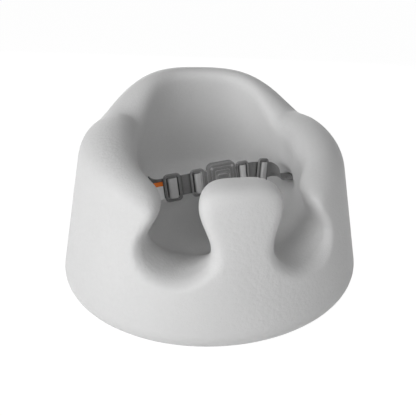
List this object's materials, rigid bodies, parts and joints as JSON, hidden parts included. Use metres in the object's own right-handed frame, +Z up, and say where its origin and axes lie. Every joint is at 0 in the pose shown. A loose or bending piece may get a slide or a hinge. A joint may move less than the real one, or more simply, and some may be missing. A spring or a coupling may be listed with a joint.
{
  "type": "baby floor seat",
  "caption": "Moulded foam floor seat for a baby, with a round tub back, leg openings, a crotch post and an adjustable lap belt with a push-button buckle.",
  "frame": {"origin": "middle of the flat base, on the floor", "axes": "+Z up, the back of the seat towards +Y, the crotch post and leg openings towards -Y"},
  "size_m": [0.3746, 0.3748, 0.243],
  "materials": {
    "foam": "satin moulded skin with a fine leather grain",
    "webbing": "woven polypropylene",
    "hard_plastic": "fine spark-eroded texture",
    "button_plastic": "satin",
    "spring_steel": "bright",
    "tag_orange": "printed satin ribbon",
    "tag_white": "plain satin ribbon"
  },
  "bodies": {
    "seat": {"seat_body": "foam", "anchor_left": "hard_plastic", "anchor_right": "hard_plastic", "strap_root_left": "webbing", "strap_root_right": "webbing"},
    "belt": {"tongue": "hard_plastic", "loop_right": "webbing", "strap_right": "webbing", "strap_left": "webbing"},
    "buckle": {"buckle_housing": "hard_plastic", "buckle_cover": "hard_plastic", "buckle_screws": "spring_steel", "loop_left": "webbing", "button_spring": "spring_steel"},
    "button": {"release_button": "button_plastic"},
    "slider_left": {"slider_left": "hard_plastic", "wrap_left": "webbing", "tag_band": "tag_orange", "tag_label": "tag_white"},
    "slider_right": {"slider_right": "hard_plastic", "wrap_right": "webbing"}
  },
  "joints": [
    {"name": "belt_swing", "type": "hinge", "parent": "seat", "child": "belt", "pos_m": [0, 0.0195, 0.114], "axis": [1, 0, 0], "range_deg": [-60, 80]},
    {"name": "buckle_pull", "type": "slide", "parent": "belt", "child": "buckle", "axis": [-0.9853, -0.1472, -0.0872], "range_m": [0, 0.0135], "deforming": ["strap_left", "tag_band", "tag_label"]},
    {"name": "button_press", "type": "slide", "parent": "buckle", "child": "button", "axis": [-0.1414, 0.9875, -0.0695], "range_m": [0, 0.0024], "stiffness_N_per_m": 2500, "deforming": ["button_spring"]},
    {"name": "slider_left_adjust", "type": "slide", "parent": "buckle", "child": "slider_left", "axis": [0.9853, 0.1472, 0.0872], "range_m": [-0.0035, 0.004], "deforming": ["strap_left"]},
    {"name": "slider_right_adjust", "type": "slide", "parent": "belt", "child": "slider_right", "axis": [0.8011, 0.5589, -0.2144], "range_m": [-0.003, 0.003]}
  ]
}
